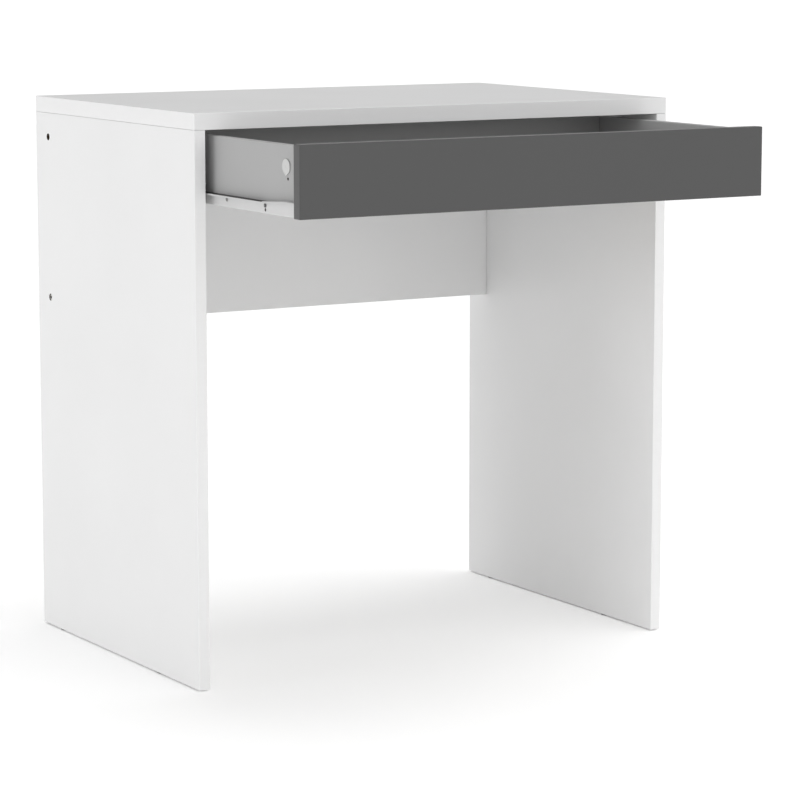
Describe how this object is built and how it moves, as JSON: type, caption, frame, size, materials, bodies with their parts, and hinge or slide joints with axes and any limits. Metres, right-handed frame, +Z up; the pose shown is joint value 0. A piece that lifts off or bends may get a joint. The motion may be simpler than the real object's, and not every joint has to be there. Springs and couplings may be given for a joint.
{
  "type": "writing desk with drawer",
  "caption": "Panel-sided writing desk: flat worktop on two side panels, a modesty panel, and a handleless inset drawer on roller slides, stored pulled out.",
  "frame": {"origin": "on the floor, centred across the desk, midway between the pulled-out drawer's front face and the desk's back edge", "axes": "+X to the right seen from the front, +Y from front to back, +Z up"},
  "size_m": [0.74, 0.743, 0.762],
  "materials": {
    "white_board": "white melamine-faced chipboard, satin",
    "graphite_board": "graphite grey melamine-faced chipboard, satin",
    "grey_board": "light grey foil-wrapped board, satin",
    "hardboard": "grey lacquered hardboard",
    "rail_steel": "light grey epoxy-coated sheet steel",
    "zinc": "bright zinc-plated steel",
    "cam_alloy": "die-cast zinc alloy",
    "white_plastic": "moulded white plastic, satin",
    "roller_plastic": "moulded acetal, satin",
    "glide_plastic": "moulded polyethylene",
    "beech": "fluted beech dowel, raw"
  },
  "bodies": {
    "carcass": {"cam_bolt_front_left": "zinc", "cam_bolt_front_right": "zinc", "cam_bolt_rear_left": "zinc", "cam_bolt_rear_right": "zinc", "cam_front_left": "cam_alloy", "cam_front_right": "cam_alloy", "cam_rear_left": "cam_alloy", "cam_rear_right": "cam_alloy", "channel_rail_left": "rail_steel", "channel_rail_right": "rail_steel", "channel_screw_front_left": "zinc", "channel_screw_front_right": "zinc", "channel_screw_rear_left": "zinc", "channel_screw_rear_right": "zinc", "front_axle_left": "zinc", "front_axle_right": "zinc", "glide_front_left": "glide_plastic", "glide_front_right": "glide_plastic", "glide_rear_left": "glide_plastic", "glide_rear_right": "glide_plastic", "modesty_panel": "white_board", "modesty_screw_lower_left": "zinc", "modesty_screw_lower_right": "zinc", "modesty_screw_upper_left": "zinc", "modesty_screw_upper_right": "zinc", "side_panel_left": "white_board", "side_panel_right": "white_board", "top_dowel_front_left": "beech", "top_dowel_front_right": "beech", "top_dowel_rear_left": "beech", "top_dowel_rear_right": "beech", "top_panel": "white_board"},
    "drawer": {"back_screw_lower_left": "zinc", "back_screw_lower_right": "zinc", "back_screw_upper_left": "zinc", "back_screw_upper_right": "zinc", "cam_disc_left": "white_plastic", "cam_disc_right": "white_plastic", "drawer_back": "grey_board", "drawer_bottom": "hardboard", "drawer_front": "graphite_board", "drawer_side_left": "grey_board", "drawer_side_right": "grey_board", "front_bolt_left": "zinc", "front_bolt_right": "zinc", "front_dowel_left": "beech", "front_dowel_right": "beech", "rear_axle_left": "zinc", "rear_axle_right": "zinc", "runner_rail_left": "rail_steel", "runner_rail_right": "rail_steel", "runner_screw_front_left": "zinc", "runner_screw_front_right": "zinc", "runner_screw_rear_left": "zinc", "runner_screw_rear_right": "zinc"},
    "front_roller_left": {"front_roller_left": "roller_plastic"},
    "front_roller_right": {"front_roller_right": "roller_plastic"},
    "rear_roller_left": {"rear_roller_left": "roller_plastic"},
    "rear_roller_right": {"rear_roller_right": "roller_plastic"}
  },
  "joints": [
    {"name": "drawer_slide", "type": "slide", "parent": "carcass", "child": "drawer", "axis": [0, -1, 0], "range_m": [-0.248, 0.002]},
    {"name": "front_roller_left_spin", "type": "hinge", "parent": "carcass", "child": "front_roller_left", "pos_m": [-0.3466, -0.0945, 0.6493], "axis": [1, 0, 0], "continuous": true},
    {"name": "rear_roller_left_spin", "type": "hinge", "parent": "drawer", "child": "rear_roller_left", "pos_m": [-0.3474, -0.0175, 0.6584], "axis": [1, 0, 0], "continuous": true},
    {"name": "front_roller_right_spin", "type": "hinge", "parent": "carcass", "child": "front_roller_right", "pos_m": [0.3466, -0.0945, 0.6493], "axis": [1, 0, 0], "continuous": true},
    {"name": "rear_roller_right_spin", "type": "hinge", "parent": "drawer", "child": "rear_roller_right", "pos_m": [0.3474, -0.0175, 0.6584], "axis": [1, 0, 0], "continuous": true}
  ],
  "couplings": [
    {"joint": "front_roller_left_spin", "follows": "drawer_slide", "rad_per_m": 125},
    {"joint": "rear_roller_left_spin", "follows": "drawer_slide", "rad_per_m": 101.01},
    {"joint": "front_roller_right_spin", "follows": "drawer_slide", "rad_per_m": 125},
    {"joint": "rear_roller_right_spin", "follows": "drawer_slide", "rad_per_m": 101.01}
  ]
}
